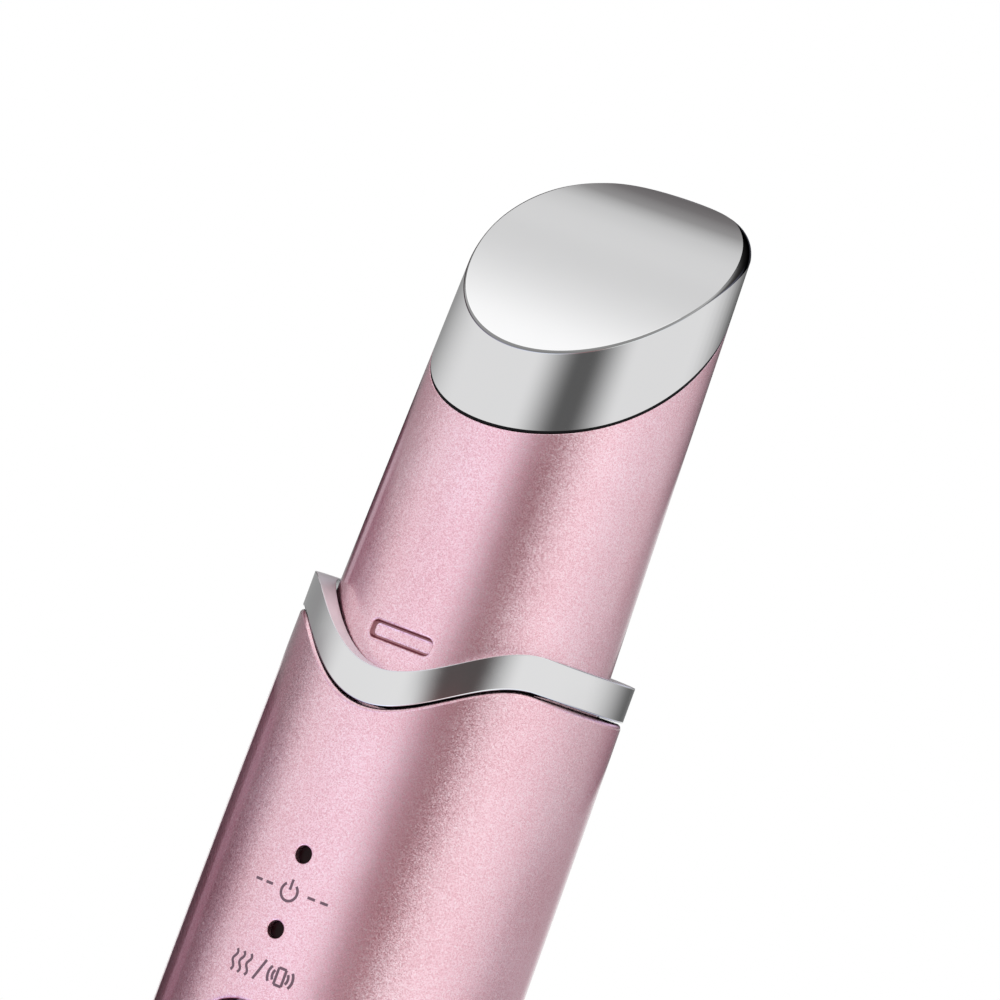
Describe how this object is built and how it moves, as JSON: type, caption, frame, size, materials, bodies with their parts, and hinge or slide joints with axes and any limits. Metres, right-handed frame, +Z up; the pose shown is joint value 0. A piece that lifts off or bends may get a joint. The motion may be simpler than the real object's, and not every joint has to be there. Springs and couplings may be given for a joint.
{
  "type": "heated eye massager wand",
  "caption": "Heated eye massager wand: slanted polished head on a tapered neck, wavy polished collar, barrel handle with a push button and a screw-off base cap over the battery bay.",
  "frame": {"origin": "centre of the flat base, where the wand stands", "axes": "+Z up the wand's axis towards the head; the button, lights and collar valley face -Y; +X completes a right-handed frame"},
  "size_m": [0.025, 0.025, 0.1354],
  "materials": {
    "pearl_shell": "pearl pink metallic lacquer under a clear gloss coat",
    "polished_head": "mirror polished",
    "polished_collar": "mirror polished",
    "black_seal": "satin",
    "button_shell": "pearl pink metallic lacquer",
    "light_lens": "smoked clear plastic",
    "inner_plastic": "moulded",
    "heater": "amber film",
    "sensor": "dipped bead",
    "motor_steel": "satin",
    "bush_bronze": "sintered",
    "weight_metal": "satin",
    "board": "solder mask",
    "small_parts": "moulded",
    "plunger": "moulded",
    "led": "clear resin",
    "contact_metal": "nickel plated",
    "coil_wire": "gold plated",
    "cell": "printed sleeve, bare",
    "red_wire": "insulated",
    "blue_wire": "insulated"
  },
  "bodies": {
    "handle": {"handle_shell": "pearl_shell", "neck_shell": "pearl_shell", "wave_collar": "polished_collar", "massage_head": "polished_head", "head_gasket": "black_seal", "heater_film": "heater", "thermistor": "sensor", "head_carrier": "inner_plastic", "motor_can": "motor_steel", "motor_bush": "bush_bronze", "motor_sleeve": "black_seal", "chassis": "inner_plastic", "circuit_board": "board", "board_screws": "contact_metal", "switch_body": "small_parts", "power_led": "led", "heat_led": "led", "power_light_pipe": "light_lens", "heat_light_pipe": "light_lens", "control_chip": "small_parts", "boost_coil": "small_parts", "board_capacitors": "plunger", "heater_leads": "red_wire", "motor_leads": "blue_wire", "positive_contact": "contact_metal", "ground_strip": "contact_metal", "battery": "cell", "thread_ring": "inner_plastic"},
    "button": {"button_cap": "button_shell", "switch_plunger": "plunger"},
    "rotor": {"motor_shaft": "motor_steel", "motor_weight": "weight_metal"},
    "cap_contact_set": {"cap_contact": "contact_metal", "battery_spring": "coil_wire"},
    "base_cap": {"battery_cap": "pearl_shell", "cap_seal": "black_seal"}
  },
  "joints": [
    {"name": "button_press", "type": "slide", "parent": "handle", "child": "button", "axis": [0, 1, 0], "range_m": [0, 0.0005], "stiffness_N_per_m": 800, "springref_m": -0.0005},
    {"name": "motor_spin", "type": "hinge", "parent": "handle", "child": "rotor", "pos_m": [0, 0, 0.1137], "axis": [0, 0, 1], "continuous": true},
    {"name": "cap_slide", "type": "slide", "parent": "handle", "child": "cap_contact_set", "axis": [0, 0, -1], "range_m": [0, 0.006]},
    {"name": "cap_turn", "type": "hinge", "parent": "cap_contact_set", "child": "base_cap", "pos_m": [0, 0, 0], "axis": [0, 0, -1], "range_deg": [0, 720]}
  ],
  "couplings": [
    {"joint": "cap_turn", "follows": "cap_slide", "rad_per_m": 2094}
  ]
}
